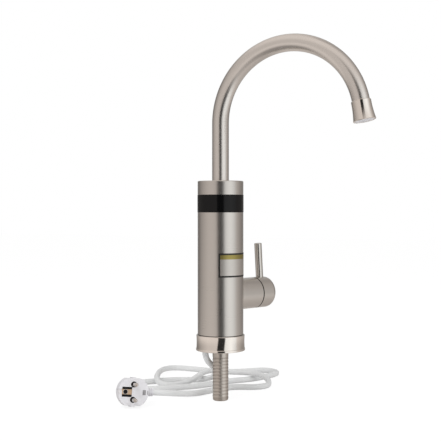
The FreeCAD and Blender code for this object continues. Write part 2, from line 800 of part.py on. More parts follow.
def heating_element():
    """One tubular element: up, over, down, under, up, over and down through the floor again."""
    places = element_places()
    tail = CHAMBER_BOTTOM - ELEMENT_TAIL
    half = ELEMENT_AT * math.sin(math.radians(ELEMENT_STEP / 2))
    high = LID_UNDER - ELEMENT_ROOM - half
    low = CHAMBER_BOTTOM + CHAMBER_FLOOR + ELEMENT_ROOM + half
    edges = []
    here = Vec(*places[0], tail)
    for i in range(3):
        over = i % 2 == 0
        level = high if over else low
        top = Vec(*places[i], level)
        edges.append(Part.LineSegment(here, top).toShape())
        there = Vec(*places[i + 1], level)
        middle = (top + there) * 0.5 + Vec(0, 0, half if over else -half)
        edges.append(Part.Arc(top, middle, there).toShape())
        here = there
    edges.append(Part.LineSegment(here, Vec(*places[3], tail)).toShape())
    return swept(Part.Wire(edges), ELEMENT_D, Vec(*places[0], tail), Vec(0, 0, 1))


def element_nuts():
    nuts = []
    floor_top = CHAMBER_BOTTOM + CHAMBER_FLOOR
    for x, y in (element_places()[0], element_places()[-1]):
        bore = ELEMENT_D + 2 * SLIP
        nuts.append(ring(ELEMENT_NUT_D, bore, CHAMBER_BOTTOM - ELEMENT_NUT_H, CHAMBER_BOTTOM, x, y))
        nuts.append(ring(ELEMENT_NUT_D, bore, floor_top, floor_top + ELEMENT_NUT_H, x, y))
    return Part.makeCompound(nuts)


def thermal_cutout():
    x, y = polar(CUTOUT_AT, GLAND_ANGLE)
    bottom = CHAMBER_BOTTOM - CUTOUT_H
    body = rod(CUTOUT_D, bottom, CHAMBER_BOTTOM, x, y)
    tabs = []
    for side in (GLAND_AT + WIRE_AT, CUTOUT_AT - CUTOUT_D / 4):
        tab = block(side - TAB_T / 2, side + TAB_T / 2, -TAB_W / 2, TAB_W / 2, bottom - TAB_H, bottom)
        tab.rotate(Vec(0, 0, 0), Vec(0, 0, 1), GLAND_ANGLE)
        tabs.append(tab)
    return joined(body, *tabs)


def temperature_probe():
    x, y = polar(PROBE_AT, GLAND_ANGLE)
    stem = rod(PROBE_D, LID_TOP - PROBE_LEN, LID_TOP, x, y)
    head = hexagon(PROBE_HEAD_D, LID_TOP, LID_TOP + PROBE_HEAD_H)
    head.translate(Vec(x, y, 0))
    return joined(stem, head)


def wire_between(points, d):
    wire, length = rounded_path(points)
    return swept(wire, d, points[0], points[1] - points[0])


def lead_wires():
    """Live to the cut-out, neutral to the element and earth to the lug on the manifold."""
    gland = Vec(*polar(GLAND_AT, GLAND_ANGLE), 0)
    out = Vec(*polar(WIRE_AT, GLAND_ANGLE), 0)
    side = Vec(*polar(WIRE_AT, GLAND_ANGLE - 120), 0)
    back = Vec(*polar(WIRE_AT, GLAND_ANGLE + 120), 0)
    neutral = Vec(*element_places()[-1], 0)
    lug = Vec(*polar(MANIFOLD_D / 2 + LUG_OUT / 2 + SEAT, GLAND_ANGLE), 0)
    start = Vec(0, 0, GLAND_TOP)
    lug_bottom = MANIFOLD_BOTTOM + LUG_OUT
    tab_bottom = CHAMBER_BOTTOM - CUTOUT_H - TAB_H
    tail = CHAMBER_BOTTOM - ELEMENT_TAIL
    live = Part.makeCylinder(WIRE_D / 2, tab_bottom - GLAND_TOP, gland + out + start)
    bend = MANIFOLD_D / 2
    across = [
        gland + side + start,
        gland + side + Vec(0, 0, tail - 1.5 * bend),
        neutral + Vec(0, 0, tail - bend / 2),
        neutral + Vec(0, 0, tail),
    ]
    inward = [
        gland + back + start,
        gland + back + Vec(0, 0, lug_bottom - 2 * bend),
        lug + Vec(0, 0, lug_bottom - bend),
        lug + Vec(0, 0, lug_bottom),
    ]
    return Part.makeCompound([live, wire_between(across, WIRE_D), wire_between(inward, WIRE_D)])


# Display

def at_front(shape):
    shape.rotate(Vec(0, 0, 0), Vec(0, 0, 1), FRONT_ANGLE)
    return shape


def display_bracket():
    middle = BOARD_AT + BOARD_T / 2
    back = middle - BRACKET_T / 2
    base = block(back, back + BRACKET_T, -BRACKET_W / 2, BRACKET_W / 2, LID_TOP, LID_TOP + BRACKET_H)
    floor = LID_TOP + BRACKET_FLOOR
    slot_back = BOARD_AT + BOARD_T + SEAT
    slot = block(BOARD_AT - SEAT, slot_back, -BRACKET_W, BRACKET_W, floor, LID_TOP + BRACKET_H)
    return at_front(base.cut(slot))


def display_board():
    bottom = LID_TOP + BRACKET_FLOOR
    return at_front(block(BOARD_AT, BOARD_AT + BOARD_T, -BOARD_W / 2, BOARD_W / 2, bottom, bottom + BOARD_H))


def display_module():
    face = BOARD_AT + BOARD_T
    top = LID_TOP + BRACKET_FLOOR + BOARD_H - BRACKET_FLOOR
    return at_front(block(face, face + MODULE_T, -MODULE_W / 2, MODULE_W / 2, top - MODULE_H, top))


# Side valve

def valve_stub():
    stub = rod(STUB_D, 0, STUB_END).cut(rod(STUB_D, 0, NECK_START))
    body = Part.makeCylinder(BODY_R + SEAT, 2 * STUB_D, Vec(0, 0, VALVE_Z - STUB_D))
    stub = on_valve(stub).cut(body)
    stub = joined(stub, on_valve(rod(NECK_D, NECK_START, BODY_R + SLIP)))
    stub = stub.cut(on_valve(rod(NECK_BORE, NECK_START, STUB_SHOULDER)))
    stub = stub.cut(on_valve(rod(STUB_BORE, STUB_SHOULDER, STUB_END)))
    return stub.cut(on_valve(rod(NUT_BORE, STUB_SHOULDER + CARTRIDGE_FLANGE_H, STUB_END)))


def valve_cartridge():
    flange_end = STUB_SHOULDER + CARTRIDGE_FLANGE_H
    housing = joined(
        rod(NECK_BORE - 2 * SLIP, DISC_START, STUB_SHOULDER),
        rod(STUB_BORE - 2 * SLIP, STUB_SHOULDER, flange_end),
        rod(CARTRIDGE_TOP_D, flange_end, flange_end + CARTRIDGE_TOP_H),
    )
    housing = housing.cut(rod(CARTRIDGE_CUP_D, DISC_START, DISC_START + CARTRIDGE_CUP_H))
    return on_valve(housing.cut(rod(SPINDLE_D + 2 * RUN, DISC_START, flange_end + CARTRIDGE_TOP_H)))


def cartridge_nut():
    bottom = STUB_SHOULDER + CARTRIDGE_FLANGE_H
    top = bottom + CARTRIDGE_NUT_H
    nut = ring(NUT_BORE - 2 * SLIP, CARTRIDGE_TOP_D + 2 * SLIP, bottom, top)
    for i in range(CARTRIDGE_NUT_SLOTS):
        slot = block(0, NUT_BORE, -NUT_SLOT_W / 2, NUT_SLOT_W / 2, top - NUT_SLOT_W, top)
        slot.rotate(Vec(0, 0, 0), Vec(0, 0, 1), 360 / CARTRIDGE_NUT_SLOTS * i)
        nut = nut.cut(slot)
    return on_valve(nut)


def fixed_disc():
    disc = rod(DISC_D, DISC_START, DISC_START + DISC_H)
    for up in (-PORT_AT, PORT_AT):
        disc = disc.cut(rod(PORT_D, DISC_START, DISC_START + DISC_H, up))
    return on_valve(disc)


def turning_disc():
    """A slot in its inner face joins the two ports once it is turned."""
    bottom = DISC_START + DISC_H + RUN
    disc = rod(DISC_D, bottom, bottom + DISC_H)
    reach = PORT_AT + PORT_D / 2
    slot = block(-PORT_D / 2, PORT_D / 2, -reach, reach, bottom, bottom + DISC_H / 2)
    slot = slot.common(rod(2 * reach, bottom, bottom + DISC_H))
    return on_valve(disc.cut(slot))


def valve_spindle():
    foot = DISC_START + 2 * DISC_H + RUN
    spindle = joined(
        rod(DISC_D, foot, foot + SPINDLE_FOOT_H),
        rod(SPINDLE_D, foot + SPINDLE_FOOT_H, HUB_BACK - SLIP),
    )
    return on_valve(spindle)


def rod_direction():
    lean = math.radians(ROD_LEAN)
    return Vec(0, 0, math.cos(lean)) - VALVE_DIR * math.sin(lean)


def along_rod(shape):
    """A piece made upright from the valve's axis is laid along the lever."""
    turn = FreeCAD.Rotation(Vec(0, 0, 1), rod_direction())
    place = VALVE_DIR * ROD_S + Vec(0, 0, VALVE_Z)
    return shape.transformed(FreeCAD.Placement(place, turn).toMatrix(), True)


def handle_cap():
    r = STUB_D / 2
    soft = HANDLE_ROUND * 0.293
    cavity = r - HANDLE_WALL
    hub = HUB_D / 2
    bore = SPINDLE_D / 2 + SLIP
    cap = turned(
        (cavity, HANDLE_START),
        (r, HANDLE_START),
        (r, HANDLE_END - HANDLE_ROUND),
        ((r - soft, HANDLE_END - soft), (r - HANDLE_ROUND, HANDLE_END)),
        (0, HANDLE_END),
        (0, HUB_BACK),
        (bore, HUB_BACK),
        (bore, HUB_START),
        (hub, HUB_START),
        (hub, HUB_BACK),
        (cavity, HUB_BACK),
    )
    cap = on_valve(cap)
    cap = cap.cut(along_rod(rod(ROD_D + 2 * SLIP, hub + FREE, STUB_D)))
    cap = cap.cut(along_rod(rod(TENON_D + 2 * SLIP, 0, hub + FREE)))
    grub = Part.makeCylinder(GRUB_D / 2 + SLIP, STUB_D, VALVE_DIR * ROD_S + Vec(0, 0, VALVE_Z), Vec(0, 0, -1))
    return cap.cut(grub)


def lever_rod():
    shoulder = HUB_D / 2 + FREE
    tip = (ROD_TOP - VALVE_Z) / math.cos(math.radians(ROD_LEAN))
    soft = ROD_EDGE * 0.293
    r = ROD_D / 2
    lever = turned(
        (0, SPINDLE_D / 2 + FREE),
        (TENON_D / 2, SPINDLE_D / 2 + FREE),
        (TENON_D / 2, shoulder),
        (r, shoulder),
        (r, tip - ROD_EDGE),
        ((r - soft, tip - soft), (r - ROD_EDGE, tip)),
        (0, tip),
    )
    return along_rod(lever)


def handle_grub_screw():
    start = SPINDLE_D / 2 + SEAT
    end = HUB_D / 2
    screw = rod(GRUB_D, start, end)
    key = hexagon(GRUB_KEY, end - GRUB_KEY_DEPTH, end)
    screw = screw.cut(key)
    turn = FreeCAD.Rotation(Vec(0, 1, 0), 180)
    place = VALVE_DIR * ROD_S + Vec(0, 0, VALVE_Z)
    return screw.transformed(FreeCAD.Placement(place, turn).toMatrix(), True)


# Swivel, spout and nozzle

def spout_tube():
    section = Part.Face([
        Part.Wire(Part.makeCircle(TUBE_R, Vec(0, 0, ARC_Z))),
        Part.Wire(Part.makeCircle(TUBE_IN, Vec(0, 0, ARC_Z))).reversed(),
    ])
    bend = section.revolve(Vec(ARC_R, 0, ARC_Z), Vec(0, 1, 0), ARC_ANGLE)
    riser = ring(TUBE_D, 2 * TUBE_IN, TUBE_BOTTOM, ARC_Z)
    tip = on_nozzle(ring(TUBE_D, 2 * TUBE_IN, 0, TUBE_INSET))
    return joined(riser, bend, tip)


def ring_levels():
    return [COLLAR_BOTTOM - STEM_DOWN + level for level in O_RINGS]


def spout_stem():
    bottom = COLLAR_BOTTOM - STEM_DOWN
    spigot_d = 2 * (TUBE_IN - SEAT)
    stem = joined(
        rod(STEM_D, bottom, COLLAR_BOTTOM),
        rod(COLLAR_D, COLLAR_BOTTOM, TUBE_BOTTOM),
        rod(spigot_d, TUBE_BOTTOM, TUBE_BOTTOM + STEM_UP),
    )
    stem = stem.cut(rod(STEM_BORE, bottom, TUBE_BOTTOM + STEM_UP))
    for level in ring_levels():
        stem = stem.cut(ring(STEM_D, STEM_D - 2 * O_RING_DEPTH, level, level + O_RING_H + 2 * SLIP))
    return stem


def spout_seals():
    seals = []
    for level in ring_levels():
        inner = STEM_D - 2 * O_RING_DEPTH + SLIP
        seals.append(ring(STEM_D + RUN, inner, level + SLIP, level + SLIP + O_RING_H))
    return Part.makeCompound(seals)


def spout_nut():
    """Screws on to the outlet neck and keeps the stem's collar down, with a washer between."""
    chamber_top = TUBE_BOTTOM + 2 * FREE + WASHER_H
    bottom = OUTLET_TOP - SPOUT_NUT_SKIRT
    top = chamber_top + SPOUT_NUT_LIP
    nut = hexagon(SPOUT_NUT_FLATS, bottom, top)
    nut = nut.cut(rod(OUTLET_NECK_D + 2 * SLIP, bottom, chamber_top))
    return nut.cut(rod(TUBE_D + 2 * TUBE_ROOM, chamber_top, top))


def swivel_washer():
    top = TUBE_BOTTOM + 2 * FREE + WASHER_H
    return ring(OUTLET_NECK_D, TUBE_D + 2 * TUBE_ROOM, top - WASHER_H, top)


def aerator_housing():
    top_r = TUBE_R + NOZZLE_TOP_OUT
    rim_r = TUBE_R + NOZZLE_RIM_OUT
    mid = (TUBE_R + NOZZLE_MID_OUT, NOZZLE_LEN / 2)
    edge = NOZZLE_EDGE
    throat_z = TUBE_INSET + NOZZLE_SHOULDER
    bore = INSERT_D / 2 + SLIP
    return on_nozzle(turned(
        (TUBE_R + SEAT, 0),
        (top_r - edge, 0),
        (top_r, edge),
        (mid, (rim_r, NOZZLE_LEN - edge)),
        (rim_r - edge, NOZZLE_LEN),
        (INSERT_RIM_D / 2 + SLIP, NOZZLE_LEN),
        (INSERT_RIM_D / 2 + SLIP, INSERT_STEP),
        (bore, INSERT_STEP),
        (bore, throat_z),
        (NOZZLE_THROAT / 2, throat_z),
        (NOZZLE_THROAT / 2, TUBE_INSET),
        (TUBE_R + SEAT, TUBE_INSET),
    ))


def aerator_seal():
    top = TUBE_INSET + NOZZLE_SHOULDER
    return on_nozzle(ring(INSERT_D, WASHER_IN, top, top + WASHER_T))


def aerator_insert():
    top = TUBE_INSET + NOZZLE_SHOULDER + WASHER_T
    bottom = NOZZLE_LEN - INSERT_RECESS
    insert = joined(rod(INSERT_D, top, INSERT_STEP), rod(INSERT_RIM_D, INSERT_STEP, bottom))
    insert = insert.cut(rod(INSERT_D - 2 * INSERT_WALL, top, bottom - INSERT_PLATE))
    for jet_ring in range(JET_RINGS):
        count = max(1, 6 * jet_ring)
        for i in range(count):
            x, y = polar(JET_STEP * jet_ring, 360 / count * i)
            insert = insert.cut(rod(JET_D, bottom - INSERT_PLATE, bottom, x, y))
    return on_nozzle(insert)


# Plug

def plug_outline(z0, z1):
    """A round face cut flat above and below, with a guide rib on each flat."""
    face = rod(PLUG_D, z0, z1).common(block(-PLUG_D, PLUG_D, -PLUG_FLATS / 2, PLUG_FLATS / 2, z0, z1))
    rib = block(-PLUG_RIB_W / 2, PLUG_RIB_W / 2, -PLUG_RIB_REACH, PLUG_RIB_REACH, z0, z1)
    return joined(face, rib)


def plug_body():
    back = cone(PLUG_BACK_D, PLUG_FLATS, -PLUG_DEPTH, -PLUG_FRONT)
    neck = cone(PLUG_NECK_D, PLUG_NECK_END_D, 0, PLUG_NECK_REACH)
    step = (PLUG_NECK_REACH - PLUG_FLATS / 2) / (NECK_GROOVES + 1)
    for i in range(NECK_GROOVES):
        level = PLUG_FLATS / 2 + step * (i + 0.7)
        outer = PLUG_NECK_D + (PLUG_NECK_END_D - PLUG_NECK_D) * level / PLUG_NECK_REACH
        neck = neck.cut(ring(PLUG_NECK_D, outer - 2 * NECK_GROOVE_DEPTH, level, level + NECK_GROOVE_W))
    neck.rotate(Vec(0, 0, 0), Vec(0, 1, 0), 90)
    neck.translate(Vec(0, 0, -PLUG_NECK_BACK))
    plug = joined(plug_outline(-PLUG_FRONT, 0), back, neck)
    for y in (-PIN_SPACING / 2, PIN_SPACING / 2):
        plug = plug.cut(rod(PIN_D + 2 * SEAT, -PIN_ROOT, 0, 0, y))
        plug = plug.cut(rod(PIN_WELL_D, -PIN_WELL_DEPTH, 0, 0, y))
    half = WINDOW_TALL / 2
    plug = plug.cut(block(-WINDOW_OUT, -WINDOW_IN, -half, half, -WINDOW_DEPTH, 0))
    strip = EARTH_STRIP_W / 2 + SEAT
    strip_floor = -EARTH_STRIP_DOWN - EARTH_STRIP_T - SEAT
    plug = plug.cut(block(-PLUG_D / 2, -WINDOW_IN, -strip, strip, strip_floor, 0))
    clip = EARTH_CLIP_W / 2 + SEAT
    groove = PLUG_D / 2 - EARTH_GROOVE_DEPTH
    clip_end = -EARTH_STRIP_DOWN - EARTH_CLIP_LEN - SEAT
    for side in (-1, 1):
        a, b = sorted((side * groove, side * PLUG_D))
        plug = plug.cut(block(a, b, -clip, clip, clip_end, 0))
    return on_plug(plug)


def plug_pins():
    pins = []
    for y in (-PIN_SPACING / 2, PIN_SPACING / 2):
        pin = rod(PIN_D, -PIN_ROOT, PIN_LEN - PIN_D / 2, 0, y)
        nose = Part.makeSphere(PIN_D / 2, Vec(0, y, PIN_LEN - PIN_D / 2))
        pins.append(on_plug(joined(pin, nose)))
    return Part.makeCompound(pins)


def plug_earth_contacts():
    clip = EARTH_CLIP_W / 2
    groove = PLUG_D / 2 - EARTH_GROOVE_DEPTH
    outer = groove + EARTH_STRIP_T
    top = -EARTH_STRIP_DOWN
    bottom = top - EARTH_CLIP_LEN
    strip_bottom = top - EARTH_STRIP_T
    tube_bottom = EARTH_TUBE_GAP - WINDOW_DEPTH
    half = EARTH_STRIP_W / 2
    left = joined(
        block(-outer, -WINDOW_IN - SEAT, -half, half, strip_bottom, top),
        block(-outer, -groove - SEAT, -clip, clip, bottom, top),
        rod(EARTH_HOLE_D + 2 * EARTH_STRIP_T, tube_bottom, strip_bottom, -EARTH_HOLE_AT),
    )
    left = left.cut(rod(EARTH_HOLE_D, -WINDOW_DEPTH, 0, -EARTH_HOLE_AT))
    right = block(groove + SEAT, outer, -clip, clip, bottom, top)
    return Part.makeCompound([on_plug(left), on_plug(right)])


# Mains lead

def rounded_path(points):
    """Straight runs joined by arcs as large as the runs allow. Gives the wire and its length."""
    edges = []
    here = points[0]
    for before, corner, after in zip(points, points[1:], points[2:]):
        back = before - corner
        ahead = after - corner
        turn = math.pi - back.getAngle(ahead)
        reach = ARC_SHARE * min(back.Length, ahead.Length)
        radius = reach / math.tan(turn / 2)
        back.normalize()
        ahead.normalize()
        middle = back + ahead
        middle.normalize()
        arc_in = corner + back * reach
        arc_out = corner + ahead * reach
        inside = radius / math.cos(turn / 2) - radius
        edges.append(Part.LineSegment(here, arc_in).toShape())
        edges.append(Part.Arc(arc_in, corner + middle * inside, arc_out).toShape())
        here = arc_out
    edges.append(Part.LineSegment(here, points[-1]).toShape())
    return Part.Wire(edges), sum(edge.Length for edge in edges)


def cord_points():
    nose = Vec(*polar(GLAND_AT, GLAND_ANGLE), NOSE_GAP)
    neck = plug_frame().multVec(Vec(PLUG_NECK_REACH, 0, -PLUG_NECK_BACK))
    below = nose - Vec(0, 0, NOSE_RUN)
    before = plug_frame().multVec(Vec(PLUG_NECK_REACH + NECK_RUN, 0, -PLUG_NECK_BACK))
    return [nose, below] + [Vec(x, y, FLOOR_Z + z) for x, y, z in CORD_ROUTE] + [before, neck]


def arc_radii(points):
    radii = []
    for before, corner, after in zip(points, points[1:], points[2:]):
        turn = math.pi - (before - corner).getAngle(after - corner)
        shorter = min((before - corner).Length, (after - corner).Length)
        radii.append(ARC_SHARE * shorter / math.tan(turn / 2))
    return radii


def least_gap(wire, steps=900):
    """Between two stretches of the lead that are further apart along it than ten diameters."""
    points = wire.discretize(steps)
    spacing = wire.Length / (steps - 1)
    apart = int(10 * CORD_D / spacing)
    nearest = min((a - b).Length for i, a in enumerate(points) for b in points[i + apart:])
    return nearest - CORD_D


def power_cord():
    points = cord_points()
    wire, length = rounded_path(points)
    tube = swept(wire, CORD_D, points[0], points[1] - points[0])
    ideal = math.pi * CORD_D ** 2 / 4 * length
    print("lead: length %.0f mm, volume over section times length %.5f" % (length, tube.Volume / ideal))
    print("lead: radii", " ".join("%.0f" % radius for radius in arc_radii(points)))
    print("lead: least gap to itself %.2f mm" % least_gap(wire))
    return tube


PIECES = (
    base_flange, deck_seal, base_plate, base_screws, threaded_shank, shank_nut, cord_gland, inner_frame,
    body_shell, display_ring, top_cap,
    inlet_pipe, inlet_seal, valve_manifold, port_seals, flow_piston, flow_sensor,
    heating_chamber, chamber_lid, lid_seal, lid_screws, heating_element, element_nuts, thermal_cutout,
    temperature_probe, lead_wires,
    display_bracket, display_board, display_module,
    valve_stub, valve_cartridge, cartridge_nut, fixed_disc, turning_disc, valve_spindle,
    handle_cap, lever_rod, handle_grub_screw,
    spout_tube, spout_stem, spout_seals, spout_nut, swivel_washer,
    aerator_housing, aerator_seal, aerator_insert,
    plug_body, plug_pins, plug_earth_contacts, power_cord,
)

for piece in PIECES:
    shape = piece()
    shape.exportStep("parts/" + piece.__name__ + ".step")
    print(piece.__name__, len(shape.Solids), shape.isValid(), round(shape.Volume))
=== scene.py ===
import math

import bmesh
import bpy
from mathutils import Matrix, Vector


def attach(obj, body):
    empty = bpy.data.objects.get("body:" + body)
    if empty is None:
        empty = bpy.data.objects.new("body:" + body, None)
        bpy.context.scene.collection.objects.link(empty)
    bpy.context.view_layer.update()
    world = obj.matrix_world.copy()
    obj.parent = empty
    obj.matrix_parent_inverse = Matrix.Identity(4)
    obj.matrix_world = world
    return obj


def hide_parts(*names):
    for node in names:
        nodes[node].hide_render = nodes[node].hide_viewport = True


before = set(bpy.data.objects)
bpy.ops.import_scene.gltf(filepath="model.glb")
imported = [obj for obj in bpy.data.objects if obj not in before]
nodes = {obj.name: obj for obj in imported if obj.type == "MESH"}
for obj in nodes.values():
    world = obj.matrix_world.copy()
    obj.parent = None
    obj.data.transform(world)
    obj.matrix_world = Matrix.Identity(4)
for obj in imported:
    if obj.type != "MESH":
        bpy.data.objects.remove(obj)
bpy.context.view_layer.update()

MM = 0.001

# Where the photograph was taken from: the tap's axis is the middle of the picture
LOOK = math.radians(28.5)
CAMERA_OFF = 1.2
CAMERA_UP = 0.1862
FOCAL_PIXELS = 915.0
PICTURE = 441.0
HORIZON = 208.0
SENSOR = 36.0
FLOOR_Z = -66 * MM

TO_CAMERA = Vector((math.sin(LOOK), -math.cos(LOOK), 0))
TO_RIGHT = Vector((math.cos(LOOK), math.sin(LOOK), 0))
UP = Vector((0, 0, 1))

# Sizes shared with the solids
VALVE_ANGLE = math.radians(71.5)
VALVE_DIR = Vector((math.cos(VALVE_ANGLE), math.sin(VALVE_ANGLE), 0))
ARC_R = 97.5 * MM
ARC_Z = 296.6 * MM
BODY_R = 30 * MM
SHANK_R = 20.955 / 2 * MM
CORD_D = 8 * MM
PLUG_AT = Vector((-70.5, -99.2, 0)) * MM
PLUG_TURN = math.radians(-45.5)
PLUG_ROLL = math.radians(5.7)
PLUG_RIB_REACH = 18.3 * MM
PLUG_RIB_W = 5 * MM
PLUG_BACK_R = 15.8 * MM
PLUG_DEPTH = 36 * MM
PLUG_FRONT = 18 * MM
STRIP_END = -14.5 * MM

# The lead's route, in millimetres, its height above the floor
LEAD_ROUTE = (
    (-18.78, -7.97, 66.5),
    (-18.78, -7.97, 54),
    (-15.5, 10, 40.5),
    (-23, 33, 32),
    (-32, 56, 25),
    (-44, 75, 18.8),
    (-64, 88, 8.7),
    (-86, 87.5, 4),
    (-108.5, 78.5, 4),
    (-126, 62.5, 4),
    (-140.5, 42.5, 4),
    (-154.5, 29, 4),
    (-160, 11, 4),
    (-151, -7, 4),
    (-132.5, -13.5, 4),
    (-116, -5.5, 4),
    (-102.5, 6.5, 4),
    (-89.5, 20, 4),
    (-73.5, 36.5, 4),
    (-57.5, 60, 4),
    (-48, 86.5, 4),
    (-37, 109.5, 4),
    (-22, 128, 4),
    (-13, 152, 4),
    (-7.5, 174.5, 4),
    (-7.5, 194.5, 4),
    (-20.5, 206.5, 4),
    (-39, 206, 4),
    (-51, 192, 4),
    (-69, 173, 4),
    (-97, 162.5, 4),
    (-129.5, 163, 4),
    (-152.5, 159.5, 4.6),
    (-166.5, 147.5, 5.8),
    (-166.5, 127, 7),
    (-159, 105, 8.4),
    (-147.5, 81.5, 10.6),
    (-135, 60, 13.2),
    (-127, 43, 11.8),
    (-115.5, 31, 5.8),
    (-95.5, 33, 4),
    (-79, 53.5, 7.5),
    (-75.5, 78.5, 14.5),
    (-76, 97.5, 16.5),
    (-69.5, 116, 15.2),
    (-53.5, 125.5, 12.2),
    (-31.5, 131, 12.8),
    (-7, 130.5, 13),
    (9, 125, 8),
    (19, 109, 4.5),
    (21, 94, 4),
    (9.5, 78.5, 4),
    (-13, 70.5, 4),
    (-26.5, 50.5, 4),
    (-33, 25, 4),
    (-39, 0, 4.5),
    (-50, -23, 7.5),
    (-56.85, -50.62, 12.77),
    (-66.93, -60.24, 14.14),
)


# Shader maths

class Val:
    """A socket that can be reckoned with."""

    def __init__(self, finish, socket):
        self.finish = finish
        self.socket = socket

    def math(self, operation, *others):
        values = dict(enumerate((self,) + others))
        return self.finish.node("Math", {"operation": operation}, values)

    def __add__(self, other):
        return self.math("ADD", other)

    __radd__ = __add__

    def __mul__(self, other):
        return self.math("MULTIPLY", other)

    __rmul__ = __mul__

    def __sub__(self, other):
        return self.math("SUBTRACT", other)

    def __rsub__(self, other):
        return self.math("MULTIPLY", -1.0) + other

    def __truediv__(self, other):
        return self.math("DIVIDE", other)

    def __gt__(self, other):
        return self.math("GREATER_THAN", other)

    def __lt__(self, other):
        return self.math("LESS_THAN", other)

    def between(self, low, high):
        """0 below low, 1 above high and smooth in between."""
        settings = {"interpolation_type": "SMOOTHSTEP"}
        return self.finish.node("MapRange", settings, {"Value": self, "From Min": low, "From Max": high})


class Nodes:
    """A node tree and the ways to add to it."""

    def __init__(self, tree):
        self.tree = tree

    def put(self, socket, value):
        if isinstance(value, Val):
            self.tree.links.new(value.socket, socket)
        elif isinstance(value, (int, float)) or socket.type != "RGBA":
            socket.default_value = value
        else:
            socket.default_value = (*value, 1.0)[:4]

    def node(self, kind, settings=None, values=None, out=0):
        made = self.tree.nodes.new("ShaderNode" + kind)
        for key, value in (settings or {}).items():
            if key == "stops":
                self.set_stops(made.color_ramp, value)
            else:
                setattr(made, key, value)
        for key, value in (values or {}).items():
            self.put(made.inputs[key], value)
        return Val(self, made.outputs[out])

    def set_stops(self, ramp, stops):
        while len(ramp.elements) < len(stops):
            ramp.elements.new(1.0)
        for element, (place, level) in zip(ramp.elements, stops):
            element.position = place
            element.color = (*level, 1.0) if isinstance(level, tuple) else (level, level, level, 1.0)

    def mix(self, factor, a, b):
        settings = {"data_type": "RGBA"}
        return self.node("Mix", settings, {0: factor, 6: a, 7: b}, out=2)

    def place(self):
        return self.node("TexCoord", out="Object")

    def split(self, vector):
        return [self.node("SeparateXYZ", None, {0: vector}, out=i) for i in range(3)]

    def join(self, x, y, z):
        return self.node("CombineXYZ", None, {0: x, 1: y, 2: z})

    def vector(self, operation, a, b, out=0):
        return self.node("VectorMath", {"operation": operation}, {0: a, 1: b}, out=out)

    def dot(self, a, b):
        return self.vector("DOT_PRODUCT", a, b, out="Value")

    def noise(self, vector, scale, detail=2.0, rough=0.5):
        values = {"Vector": vector, "Scale": scale, "Detail": detail, "Roughness": rough}
        return self.node("TexNoise", None, values)

    def bump(self, height, distance, strength=1.0):
        return self.node("Bump", None, {"Height": height, "Distance": distance, "Strength": strength})


class Finish(Nodes):
    """A material with one Principled shader."""

    def __init__(self, name):
        self.material = bpy.data.materials.new(name)
        self.material.use_nodes = True
        super().__init__(self.material.node_tree)
        self.shader = self.tree.nodes["Principled BSDF"]

    def set(self, **values):
        for key, value in values.items():
            self.put(self.shader.inputs[key.replace("_", " ")], value)
        return self.material


# Metals

NICKEL_DARK = (0.63, 0.605, 0.565)
NICKEL_LIGHT = (0.75, 0.725, 0.685)
SPOUT_DARK = (0.73, 0.70, 0.66)
SPOUT_LIGHT = (0.84, 0.81, 0.77)
FOOT_DARK = (0.87, 0.825, 0.765)
FOOT_LIGHT = (0.95, 0.90, 0.84)
# Painted shade: the base colour is darkened along the gap above the foot and where the valve's cap meets
# its stub.
JOINT_SHADE = (0.09, 0.085, 0.08)
FOOT_JOINT_PAINTED_SHADE = (20.3 * MM, 21.3 * MM)
VALVE_JOINT_PAINTED_SHADE = (60.0 * MM, 61.8 * MM)


def along_line(finish, axis):
    return finish.dot(finish.place(), tuple(axis))


def along_spout(finish):
    """Length along the spout: up the riser, then round the bend."""
    x, _, z = finish.split(finish.place())
    round_bend = (z - ARC_Z).math("ARCTAN2", ARC_R - x)
    return z.math("MINIMUM", ARC_Z) + (z > ARC_Z) * round_bend * ARC_R


def brushed(name, along, rough=0.22, lines=3200.0, dark=NICKEL_DARK, light=NICKEL_LIGHT, joint_painted_shade=None):
    """Fine lines run round the piece. Along an optional stretch where two parts meet, the base colour is
    darkened as painted shade for the shadow in that gap.
    """
    finish = Finish(name)
    place = finish.place()
    level = along(finish)
    coarse = finish.node("VectorMath", {"operation": "SCALE"}, {0: place, 3: 55.0})
    grain = finish.vector("ADD", coarse, finish.join(level * lines, level * lines * 0.37, 0.0))
    hair = finish.noise(grain, 1.0, 3.0, 0.65)
    cloud = finish.noise(place, 32.0, 2.0)
    shade = (hair - 0.5) * 0.26 + (cloud - 0.5) * 0.2 + 0.5
    colour = finish.mix(shade, dark, light)
    # Painted shade: a dark base colour along the stretch where two parts meet.
    if joint_painted_shade:
        low, high = joint_painted_shade
        colour = finish.mix((level > low) * (level < high), colour, JOINT_SHADE)
    return finish.set(
        Base_Color=colour,
        Metallic=1.0,
        Roughness=(hair - 0.5) * 0.02 + (cloud - 0.5) * 0.03 + rough,
        Normal=finish.bump(hair, 0.0003 * MM),
    )


def brass_finish():
    finish = Finish("machined_brass")
    place = finish.place()
    x, y, z = finish.split(place)
    turned = finish.noise(finish.join(x * 40.0, y * 40.0, z * 2600.0), 1.0, 2.0)
    return finish.set(
        Base_Color=finish.mix(turned, (0.62, 0.46, 0.2), (0.78, 0.62, 0.33)),
        Metallic=1.0,
        Roughness=turned * 0.16 + 0.2,
        Normal=finish.bump(turned, 0.01 * MM),
    )


def plain_steel(name, tone, rough):
    finish = Finish(name)
    place = finish.place()
    cloud = finish.noise(place, 160.0, 3.0)
    dark = tuple(c * 0.86 for c in tone)
    return finish.set(
        Base_Color=finish.mix(cloud, dark, tone),
        Metallic=1.0,
        Roughness=cloud * 0.12 + rough,
        Normal=finish.bump(cloud, 0.008 * MM),
    )


# Plastics and rubber

LIVE_ANGLE = math.radians(203)
WIRE_APART = 0.6 * MM


